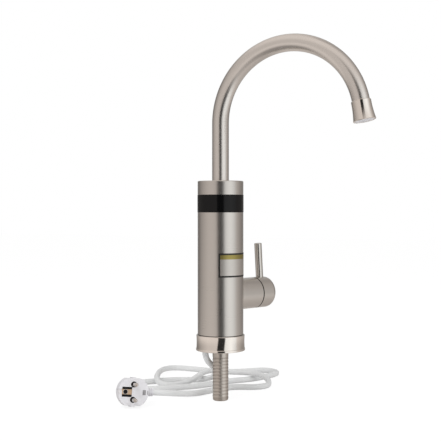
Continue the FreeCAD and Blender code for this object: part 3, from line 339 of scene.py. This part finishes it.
def moulded(name, tone, rough, grain=900.0, depth=0.012, sheen=0.9, gloss=0.5):
    """Fine moulded grain with a slow change of tone."""
    finish = Finish(name)
    place = finish.place()
    fine = finish.noise(place, grain, 3.0)
    slow = finish.noise(place, 30.0, 1.0)
    dark = tuple(c * sheen for c in tone)
    return finish.set(
        Base_Color=finish.mix((slow - 0.5) * 0.8 + (fine - 0.5) * 0.3 + 0.55, dark, tone),
        Roughness=(fine - 0.5) * 0.14 + (slow - 0.5) * 0.1 + rough,
        Specular_IOR_Level=gloss,
        Normal=finish.bump(fine, depth * MM),
    )


def earth_finish():
    """Warm sprung strip at the hole, a pale clip beyond it, and the clip on the lead's side in a darker
    grey that is painted shade.
    """
    finish = Finish("earth_contacts")
    place = finish.place()
    lead_way = Vector((-math.sin(PLUG_TURN), math.cos(PLUG_TURN), 0))
    aside = finish.dot(place, tuple(lead_way)) - lead_way.dot(PLUG_AT)
    fine = finish.noise(place, 700.0, 2.0)
    warm = finish.mix(fine, (0.52, 0.36, 0.23), (0.68, 0.5, 0.34))
    # Painted shade: the clip on the lead's side is coloured darker grey for the shadow it sits in.
    painted_shade_grey = finish.mix(fine, (0.30, 0.29, 0.30), (0.42, 0.41, 0.42))
    pale = finish.mix(fine, (0.70, 0.68, 0.68), (0.77, 0.75, 0.76))
    strip = finish.mix(aside > STRIP_END, pale, warm)
    return finish.set(
        Base_Color=finish.mix(aside > 0.0, strip, painted_shade_grey),
        Metallic=(aside > STRIP_END) * 0.6,
        Roughness=fine * 0.1 + 0.3,
    )


def wire_finish():
    """Brown, blue, and green with a yellow stripe, told apart by where each wire lies."""
    finish = Finish("lead_wires")
    place = finish.place()
    x, y, _ = finish.split(place)
    stripe = finish.noise(place, 300.0, 0.0) > 0.52
    across = x * -math.sin(LIVE_ANGLE) + y * math.cos(LIVE_ANGLE)
    earth = finish.mix(stripe, (0.08, 0.3, 0.06), (0.75, 0.6, 0.05))
    colour = finish.mix(across > WIRE_APART, earth, (0.03, 0.12, 0.5))
    middle = across.math("ABSOLUTE") < WIRE_APART
    return finish.set(Base_Color=finish.mix(middle, colour, (0.2, 0.08, 0.03)), Roughness=0.45)


# Shapes

def add_piece(name, mesh, body, finish):
    data = bpy.data.meshes.new(name)
    mesh.to_mesh(data)
    mesh.free()
    data.materials.append(finish)
    piece = bpy.data.objects.new(name, data)
    bpy.context.scene.collection.objects.link(piece)
    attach(piece, body)
    return piece


def line_of(mesh, points):
    verts = [mesh.verts.new(point) for point in points]
    for a, b in zip(verts, verts[1:]):
        mesh.edges.new((a, b))
    return verts


def smooth(mesh, flat_above=math.radians(35)):
    """Smooth faces, with the edges that turn sharply kept."""
    for face in mesh.faces:
        face.smooth = True
    for edge in mesh.edges:
        edge.smooth = len(edge.link_faces) == 2 and edge.calc_face_angle(0.0) < flat_above


def spun(mesh, profile, centre=(0, 0), steps=96):
    """A closed form from a profile of (radius, height) that comes back to its start or to the axis."""
    x, y = centre
    verts = line_of(mesh, [(x + r, y, z) for r, z in profile])
    edges = [e for e in mesh.edges if e.verts[0] in verts and e.verts[1] in verts]
    bmesh.ops.spin(
        mesh, geom=verts + edges, cent=(x, y, 0), axis=(0, 0, 1), dvec=(0, 0, 0), angle=2 * math.pi,
        steps=steps, use_merge=True, use_duplicate=False,
    )
    bmesh.ops.remove_doubles(mesh, verts=mesh.verts, dist=1e-6)
    bmesh.ops.recalc_face_normals(mesh, faces=mesh.faces)


def ring_profile(outer, inner, low, high, edge):
    """A flat ring with its upper edges broken."""
    return [
        (inner, low),
        (outer, low),
        (outer, high - edge),
        (outer - edge, high),
        (inner + edge, high),
        (inner, high - edge),
        (inner, low),
    ]


def block(mesh, low, high, edge):
    """A block between two corners, with its edges rounded."""
    size = Vector(high) - Vector(low)
    verts = bmesh.ops.create_cube(mesh, size=1)["verts"]
    bmesh.ops.scale(mesh, vec=size, verts=verts)
    bmesh.ops.translate(mesh, vec=Vector(low) + size / 2, verts=verts)
    edges = {e for v in verts for e in v.link_edges}
    bmesh.ops.bevel(
        mesh, geom=list(edges), offset=edge, affect="EDGES", segments=3, profile=0.5, material=-1,
        clamp_overlap=True,
    )


# Plug

PIN_OFF = 9.5 * MM
PIN_WELL_R = 3.75 * MM
PIN_CLEAR_R = 2.45 * MM
WELL_FLOOR = -1.15 * MM
WELL_TOP = -0.35 * MM
SOCKET_LEFT = -13.9 * MM
SOCKET_RIGHT = -2.6 * MM
SOCKET_IN = 3.3 * MM
SOCKET_OUT = 6.5 * MM
SOCKET_FLOOR = -7.8 * MM
SOCKET_TOP = -0.4 * MM
EARTH_HOLE_AT = -10 * MM
EARTH_HOLE_R = 2.65 * MM
EARTH_RIM_R = 3.4 * MM
STRIP_TOP = -1 * MM
CLIP_LOW = Vector((11.7, -3.2, -1.2)) * MM
CLIP_HIGH = Vector((15.9, 3.2, 0.12)) * MM
CLIP_EDGE = 0.3 * MM
WELL_EDGE = 0.15 * MM
SOCKET_EDGE = 0.4 * MM
CORE_SLACK = 0.06 * MM
CORE_RISE = 0.15 * MM
RIM_RISE = 0.5 * MM
RIM_EDGE = 0.2 * MM
PLUG_STEPS = 48


def plug_frame():
    """Pins along the plug's own Z, its lead along X. It leans back on a rib's end and its back's rim."""
    foot = PLUG_RIB_REACH * math.cos(PLUG_ROLL) + PLUG_RIB_W / 2 * math.sin(PLUG_ROLL)
    tilt = math.atan2(foot - PLUG_BACK_R, PLUG_DEPTH - PLUG_FRONT)
    rest = foot * math.cos(tilt) + PLUG_FRONT * math.sin(tilt)
    ahead = Vector((math.cos(PLUG_TURN), math.sin(PLUG_TURN), 0))
    lead = Vector((-math.sin(PLUG_TURN), math.cos(PLUG_TURN), 0))
    pins = ahead * math.cos(tilt) + UP * math.sin(tilt)
    leaning = Matrix((lead, UP * math.cos(tilt) - ahead * math.sin(tilt), pins)).transposed()
    rolled = leaning @ Matrix.Rotation(-PLUG_ROLL, 3, "Z")
    return Matrix.Translation(PLUG_AT + Vector((0, 0, FLOOR_Z + rest))) @ rolled.to_4x4()


def add_on_plug(name, mesh, finish):
    bmesh.ops.transform(mesh, matrix=plug_frame(), verts=mesh.verts)
    bmesh.ops.recalc_face_normals(mesh, faces=mesh.faces)
    smooth(mesh)
    return add_piece(name, mesh, "body", finish)


def add_pin_wells(finish):
    """Near-black rings at the foot of each pin, put there as painted shade for the shadowed recess round
    each pin.
    """
    mesh = bmesh.new()
    for y in (-PIN_OFF, PIN_OFF):
        profile = ring_profile(PIN_WELL_R, PIN_CLEAR_R, WELL_FLOOR, WELL_TOP, WELL_EDGE)
        spun(mesh, profile, (0, y), PLUG_STEPS)
    add_on_plug("pin_wells_painted_shade", mesh, finish)


def add_earth_socket(finish):
    """Near-black beds above and below the earth strip, and a near-black core inside its hole, put there as
    painted shade for the deep shadow in the window and the hole.
    """
    mesh = bmesh.new()
    for low, high in ((-SOCKET_OUT, -SOCKET_IN), (SOCKET_IN, SOCKET_OUT)):
        block(mesh, (SOCKET_LEFT, low, SOCKET_FLOOR), (SOCKET_RIGHT, high, SOCKET_TOP), SOCKET_EDGE)
    core = EARTH_HOLE_R - CORE_SLACK
    top = STRIP_TOP + CORE_RISE
    profile = [(0, SOCKET_FLOOR), (core, SOCKET_FLOOR), (core, top), (0, top)]
    spun(mesh, profile, (EARTH_HOLE_AT, 0), PLUG_STEPS)
    add_on_plug("earth_socket_painted_shade", mesh, finish)


def add_earth_rim(finish):
    mesh = bmesh.new()
    profile = ring_profile(EARTH_RIM_R, EARTH_HOLE_R, STRIP_TOP, STRIP_TOP + RIM_RISE, RIM_EDGE)
    spun(mesh, profile, (EARTH_HOLE_AT, 0), PLUG_STEPS)
    add_on_plug("earth_rim", mesh, finish)


def add_clip_window(finish):
    """The lead-side earth clip where it shows at the plug's face, in the painted-shade grey of the earth
    contacts.
    """
    mesh = bmesh.new()
    block(mesh, CLIP_LOW, CLIP_HIGH, CLIP_EDGE)
    add_on_plug("clip_window", mesh, finish)


# Plate on the body, with nothing on it

PLATE_LOW = 97 * MM
PLATE_HIGH = 128 * MM
PLATE_TURN = math.radians(-16.5)
PLATE_HALF = math.radians(50)
PLATE_T = 0.25 * MM
PLATE_STEPS = 72
PLATE_BORDER = 2.2 * MM
PLATE_BAND = 120.2 * MM


def plate_finish():
    """Clear metal in a dark border, with one muted band along the top."""
    finish = Finish("blank_plate")
    place = finish.place()
    x, y, z = finish.split(place)
    ahead = x * math.cos(PLATE_TURN) + y * math.sin(PLATE_TURN)
    aside = y * math.cos(PLATE_TURN) - x * math.sin(PLATE_TURN)
    along = aside.math("ARCTAN2", ahead).math("ABSOLUTE") * BODY_R
    ends = along > PLATE_HALF * BODY_R - PLATE_BORDER
    foot = z < PLATE_LOW + PLATE_BORDER
    head = z > PLATE_HIGH - PLATE_BORDER
    border = ends.math("MAXIMUM", foot).math("MAXIMUM", head)
    fine = finish.noise(place, 900.0, 2.0)
    metal = finish.mix(fine, NICKEL_DARK, NICKEL_LIGHT)
    face = finish.mix(z > PLATE_BAND, metal, (0.42, 0.355, 0.12))
    return finish.set(
        Base_Color=finish.mix(border, face, (0.012, 0.011, 0.01)),
        Metallic=1.0 - border,
        Roughness=fine * 0.08 + 0.38,
    )


def add_plate(finish):
    mesh = bmesh.new()
    start = PLATE_TURN - PLATE_HALF
    inner, outer = BODY_R + 0.02 * MM, BODY_R + PLATE_T
    corners = [(inner, PLATE_LOW), (outer, PLATE_LOW), (outer, PLATE_HIGH), (inner, PLATE_HIGH)]
    edge = line_of(mesh, [(r * math.cos(start), r * math.sin(start), z) for r, z in corners])
    section = mesh.faces.new(edge)
    bmesh.ops.spin(
        mesh, geom=[section], cent=(0, 0, 0), axis=(0, 0, 1), dvec=(0, 0, 0), angle=2 * PLATE_HALF,
        steps=PLATE_STEPS, use_merge=False, use_duplicate=False,
    )
    bmesh.ops.recalc_face_normals(mesh, faces=mesh.faces)
    smooth(mesh)
    add_piece("blank_plate", mesh, "body", finish)


# Threaded shank

THREAD_PITCH = 4.3 * MM
THREAD_DEPTH = 0.42 * MM
THREAD_TOP = -9.5 * MM
THREAD_FOOT = -62.95 * MM
THREAD_STEPS = 48
SHANK_BORE_R = 7 * MM
SHANK_EDGE = 1 * MM
NECK_LOW = -0.5 * MM
NECK_R = 10 * MM
HEAD_LOW = 12 * MM
HEAD_TOP = 18 * MM
HEAD_R = 12.8 * MM
HEAD_EDGE = 0.4 * MM
SEAT_LOW = 13 * MM
SEAT_R = 8.6 * MM
RIDGE_SUNK = 0.2 * MM


def shank_finish():
    """Steel painted darker in the thread's roots and lighter on its ridges, as painted shade; the roots are
    also rougher.
    """
    finish = Finish("shank_steel")
    place = finish.place()
    x, y, _ = finish.split(place)
    out = finish.vector("LENGTH", finish.join(x, y, 0.0), (0.0, 0.0, 0.0), out="Value")
    crest_vs_painted_root_shade = out.between(SHANK_R - THREAD_DEPTH, SHANK_R - 0.12 * MM)
    cloud = finish.noise(place, 160.0, 3.0)
    bright = finish.mix(cloud, (0.6, 0.555, 0.505), (0.69, 0.645, 0.59))
    return finish.set(
        # Painted shade: the thread's roots take a darker base colour than its ridges.
        Base_Color=finish.mix(crest_vs_painted_root_shade, (0.52, 0.475, 0.43), bright),
        Metallic=1.0,
        Roughness=crest_vs_painted_root_shade * -0.08 + cloud * 0.06 + 0.42,
    )


def add_shank(finish):
    """A bored pipe with a plain neck and a rolled thread wound round the rest."""
    root = SHANK_R - THREAD_DEPTH
    low = FLOOR_Z
    mesh = bmesh.new()
    spun(mesh, [
        (SHANK_BORE_R, low + SHANK_EDGE / 2),
        (SHANK_BORE_R + SHANK_EDGE / 2, low),
        (root - SHANK_EDGE, low),
        (root, low + SHANK_EDGE),
        (root, THREAD_TOP),
        (SHANK_R, THREAD_TOP + THREAD_DEPTH),
        (SHANK_R, NECK_LOW),
        (NECK_R, NECK_LOW),
        (NECK_R, HEAD_LOW),
        (HEAD_R - HEAD_EDGE, HEAD_LOW),
        (HEAD_R, HEAD_LOW + HEAD_EDGE),
        (HEAD_R, HEAD_TOP),
        (SEAT_R, HEAD_TOP),
        (SEAT_R, SEAT_LOW),
        (SHANK_BORE_R, SEAT_LOW),
        (SHANK_BORE_R, low + SHANK_EDGE / 2),
    ])
    turns = (THREAD_TOP - THREAD_FOOT) / THREAD_PITCH
    half = THREAD_PITCH * 0.47
    flat = THREAD_PITCH * 0.1
    start = THREAD_FOOT
    ridge = line_of(mesh, [
        (root - RIDGE_SUNK, 0, start - half),
        (root, 0, start - half),
        (SHANK_R, 0, start - flat),
        (SHANK_R, 0, start + flat),
        (root, 0, start + half),
        (root - RIDGE_SUNK, 0, start + half),
    ])
    section = mesh.faces.new(ridge)
    steps = round(turns * THREAD_STEPS)
    bmesh.ops.spin(
        mesh, geom=[section], cent=(0, 0, 0), axis=(0, 0, 1), dvec=(0, 0, THREAD_PITCH / THREAD_STEPS),
        angle=2 * math.pi * steps / THREAD_STEPS, steps=steps, use_merge=False, use_duplicate=False,
    )
    bmesh.ops.recalc_face_normals(mesh, faces=mesh.faces)
    smooth(mesh)
    piece = add_piece("shank", mesh, "body", finish)
    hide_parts("threaded_shank")


# Mains lead

def add_lead(finish):
    line = bpy.data.curves.new("mains_lead", "CURVE")
    line.dimensions = "3D"
    spline = line.splines.new("NURBS")
    spline.points.add(len(LEAD_ROUTE) - 1)
    route = [Vector((x * MM, y * MM, FLOOR_Z + z * MM)) for x, y, z in LEAD_ROUTE]
    for point, at in zip(spline.points, route):
        point.co = (*at, 1)
    spline.order_u = 3
    spline.use_endpoint_u = True
    spline.resolution_u = 10
    line.bevel_depth = CORD_D / 2
    line.bevel_resolution = 6
    line.use_fill_caps = True
    line.materials.append(finish)
    piece = bpy.data.objects.new("mains_lead", line)
    bpy.context.scene.collection.objects.link(piece)
    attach(piece, "body")
    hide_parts("power_cord")


# Studio

def add_camera():
    camera = bpy.data.objects.new("camera", bpy.data.cameras.new("camera"))
    camera.data.sensor_width = SENSOR
    camera.data.lens = SENSOR * FOCAL_PIXELS / PICTURE
    camera.location = TO_CAMERA * CAMERA_OFF + Vector((0, 0, CAMERA_UP))
    down = math.atan((PICTURE / 2 - HORIZON) / FOCAL_PIXELS)
    camera.rotation_euler = (math.pi / 2 - down, 0, LOOK)
    bpy.context.scene.collection.objects.link(camera)
    bpy.context.scene.camera = camera


# What the metal mirrors, by bearing from the camera's side:
# two soft boxes with a dark slot between them, and dim far sides
SLOT_LEAN = 0.42
SLOT_IN = math.radians(15)
SLOT_OUT = math.radians(19)
SLOT_SHADE = 0.035
WARM = (1.09, 1.0, 0.95)
NEUTRAL = (1.0, 1.0, 1.0)
MIRRORED = (
    (-180, 0.68, NEUTRAL),
    (-168, 0.62, NEUTRAL),
    (-146, 0.12, WARM),
    (-103, 0.38, WARM),
    (-63, 0.56, WARM),
    (-14, 0.58, WARM),
    (14, 0.75, NEUTRAL),
    (30, 0.9, NEUTRAL),
    (52, 1.02, NEUTRAL),
    (75, 0.74, NEUTRAL),
    (88, 0.48, WARM),
    (120, 0.28, WARM),
    (146, 0.22, WARM),
    (165, 0.40, NEUTRAL),
    (180, 0.60, NEUTRAL),
)
LOWER = (
    (-180, 0.60, WARM),
    (-150, 0.40, WARM),
    (-103, 0.66, WARM),
    (-63, 0.70, WARM),
    (-14, 0.66, WARM),
    (14, 0.78, NEUTRAL),
    (30, 0.92, NEUTRAL),
    (52, 1.02, NEUTRAL),
    (75, 0.90, NEUTRAL),
    (90, 0.58, WARM),
    (120, 0.48, WARM),
    (160, 0.44, WARM),
    (180, 0.55, WARM),
)
CEILING = (
    (-180, 0.60, WARM),
    (-120, 0.70, WARM),
    (-40, 0.72, WARM),
    (60, 0.66, WARM),
    (133, 0.34, WARM),
    (180, 0.58, WARM),
)
GROUND = (
    (-180, 0.58, WARM),
    (-132, 0.60, WARM),
    (-115, 0.22, WARM),
    (-40, 0.30, WARM),
    (26, 0.48, WARM),
    (44, 0.56, WARM),
    (110, 0.50, WARM),
    (160, 0.44, WARM),
    (180, 0.55, WARM),
)


def round_room(sky, turn, levels):
    stops = [(place / 360 + 0.5, tuple(level * c for c in tint)) for place, level, tint in levels]
    return sky.node("ValToRGB", {"stops": stops}, {"Fac": turn})


def add_world():
    world = bpy.data.worlds.new("studio")
    bpy.context.scene.world = world
    world.use_nodes = True
    sky = Nodes(world.node_tree)
    facing = sky.node("TexCoord", out="Generated")
    bearing = sky.dot(facing, tuple(TO_RIGHT)).math("ARCTAN2", sky.dot(facing, tuple(TO_CAMERA)))
    turn = bearing / (2 * math.pi) + 0.5
    boxes, lower, ceiling, ground = [
        round_room(sky, turn, levels) for levels in (MIRRORED, LOWER, CEILING, GROUND)
    ]
    height = sky.split(facing)[2]
    depth = height * -1.0
    room = sky.mix(depth.between(0.09, 0.24), boxes, lower)
    aside = (bearing + height * SLOT_LEAN).math("ABSOLUTE")
    slot = aside.between(SLOT_IN, SLOT_OUT) * (SLOT_SHADE * -1.0 + 1.0) + SLOT_SHADE
    past = height.math("ABSOLUTE").between(0.3, 0.7)
    room = sky.mix(past.math("MAXIMUM", slot), (0.0, 0.0, 0.0), room)
    room = sky.mix(height.between(0.34, 0.82), room, ceiling)
    room = sky.mix(depth.between(0.42, 0.77), room, ground)
    kinds = ("Is Camera Ray", "Is Glossy Ray", "Is Transmission Ray")
    rays = [sky.node("LightPath", out=kind) for kind in kinds]
    seen = sky.mix(rays[1], (0.72, 0.72, 0.72), room)
    colour = sky.mix(rays[0].math("MAXIMUM", rays[2]), seen, (1.0, 1.0, 1.0))
    background = sky.tree.nodes["Background"]
    sky.put(background.inputs["Color"], colour)


def add_lamp(name, place, aim, size, power):
    lamp = bpy.data.lights.new(name, "AREA")
    lamp.energy = power
    lamp.size = size
    piece = bpy.data.objects.new(name, lamp)
    piece.location = place
    piece.rotation_euler = (Vector(place) - Vector(aim)).to_track_quat("Z", "Y").to_euler()
    piece.visible_glossy = False
    bpy.context.scene.collection.objects.link(piece)


def add_floor():
    mesh = bmesh.new()
    bmesh.ops.create_grid(mesh, x_segments=1, y_segments=1, size=6)
    bmesh.ops.translate(mesh, vec=(0, 0, FLOOR_Z), verts=mesh.verts)
    data = bpy.data.meshes.new("floor")
    mesh.to_mesh(data)
    mesh.free()
    finish = Finish("floor")
    finish.set(Base_Color=(0.93, 0.93, 0.93), Roughness=0.9)
    white = finish.node("Emission", None, {"Color": (1.0, 1.0, 1.0), "Strength": 1.08})
    camera_ray = finish.node("LightPath", out="Is Camera Ray")
    shown = finish.node("MixShader", None, {0: camera_ray * 0.8})
    finish.tree.links.new(finish.shader.outputs[0], shown.socket.node.inputs[1])
    finish.tree.links.new(white.socket, shown.socket.node.inputs[2])
    finish.tree.links.new(shown.socket, finish.tree.nodes["Material Output"].inputs["Surface"])
    data.materials.append(finish.material)
    floor = bpy.data.objects.new("floor", data)
    floor.visible_glossy = False
    bpy.context.scene.collection.objects.link(floor)


def dress(finish, *names):
    for name in names:
        slots = nodes[name].data.materials
        slots.clear()
        slots.append(finish)


add_camera()
add_world()
add_lamp("key", TO_CAMERA * 0.9 - TO_RIGHT * 0.7 + Vector((0, 0, 1.3)), (0, 0, 0.05), 0.9, 9)
add_lamp("fill", TO_CAMERA * 0.9 + TO_RIGHT * 0.9 + Vector((0, 0, 0.9)), (0, 0, 0.1), 0.9, 4)
add_floor()

body_nickel = brushed("body_nickel", lambda f: along_line(f, UP), rough=0.28, joint_painted_shade=FOOT_JOINT_PAINTED_SHADE)
valve_nickel = brushed("valve_nickel", lambda f: along_line(f, VALVE_DIR), rough=0.3, joint_painted_shade=VALVE_JOINT_PAINTED_SHADE)
lever_nickel = brushed("lever_nickel", lambda f: along_line(f, UP), rough=0.16)
spout_nickel = brushed("spout_nickel", along_spout, rough=0.27, dark=SPOUT_DARK, light=SPOUT_LIGHT)
smooth_nickel = brushed(
    "smooth_nickel", lambda f: along_line(f, UP), rough=0.1, lines=1500.0, dark=FOOT_DARK, light=FOOT_LIGHT,
)
brass = brass_finish()
screw_steel = plain_steel("screw_steel", (0.62, 0.58, 0.54), 0.27)
element_steel = plain_steel("element_steel", (0.42, 0.41, 0.4), 0.35)
pin_metal = plain_steel("pin_metal", (0.80, 0.75, 0.70), 0.15)
white_plastic = moulded("white_plastic", (0.77, 0.76, 0.785), 0.38)
cord_white = moulded("cord_white", (0.79, 0.795, 0.795), 0.5, grain=1400.0)
grey_plastic = moulded("grey_plastic", (0.5, 0.5, 0.5), 0.5)
black_plastic = moulded("black_plastic", (0.035, 0.035, 0.035), 0.45)
black_gloss = moulded("black_gloss", (0.003, 0.003, 0.0032), 0.12, grain=60.0, depth=0.002, gloss=0.25)
# Painted shade: this near-black, used in the pin wells and the earth socket, stands for deep shadow.
well_painted_shade = moulded("well_painted_shade", (0.006, 0.006, 0.007), 0.5, gloss=0.2)
rubber = moulded("rubber", (0.03, 0.03, 0.03), 0.7, grain=1500.0)
board_green = moulded("board_green", (0.05, 0.22, 0.09), 0.35)
ceramic = moulded("ceramic", (0.85, 0.85, 0.83), 0.15, depth=0.002)

dress(body_nickel, "body_shell", "top_cap")
dress(valve_nickel, "valve_stub", "handle_cap")
dress(lever_nickel, "lever_rod")
dress(spout_nickel, "spout_tube")
dress(smooth_nickel, "base_flange", "aerator_housing")
dress(black_gloss, "display_ring", "display_module")
dress(brass, "shank_nut", "inlet_pipe", "valve_manifold", "element_nuts", "temperature_probe")
dress(brass, "valve_cartridge", "cartridge_nut", "valve_spindle", "spout_stem", "spout_nut")
earth_metal = earth_finish()
dress(earth_metal, "plug_earth_contacts")
dress(screw_steel, "threaded_shank", "base_screws", "lid_screws", "handle_grub_screw")
dress(element_steel, "heating_element")
dress(pin_metal, "plug_pins")
dress(white_plastic, "plug_body", "cord_gland", "aerator_insert", "swivel_washer")
dress(wire_finish(), "lead_wires")
dress(cord_white, "power_cord")
dress(grey_plastic, "base_plate", "inner_frame", "flow_piston")
dress(grey_plastic, "heating_chamber", "chamber_lid", "display_bracket")
dress(black_plastic, "flow_sensor", "thermal_cutout")
dress(rubber, "deck_seal", "inlet_seal", "port_seals", "lid_seal", "spout_seals", "aerator_seal")
dress(board_green, "display_board")
dress(ceramic, "fixed_disc", "turning_disc")

add_lead(cord_white)
add_shank(shank_finish())
add_plate(plate_finish())
add_pin_wells(well_painted_shade)
add_earth_socket(well_painted_shade)
add_earth_rim(pin_metal)
add_clip_window(earth_metal)

bpy.context.scene.view_settings.view_transform = "Standard"
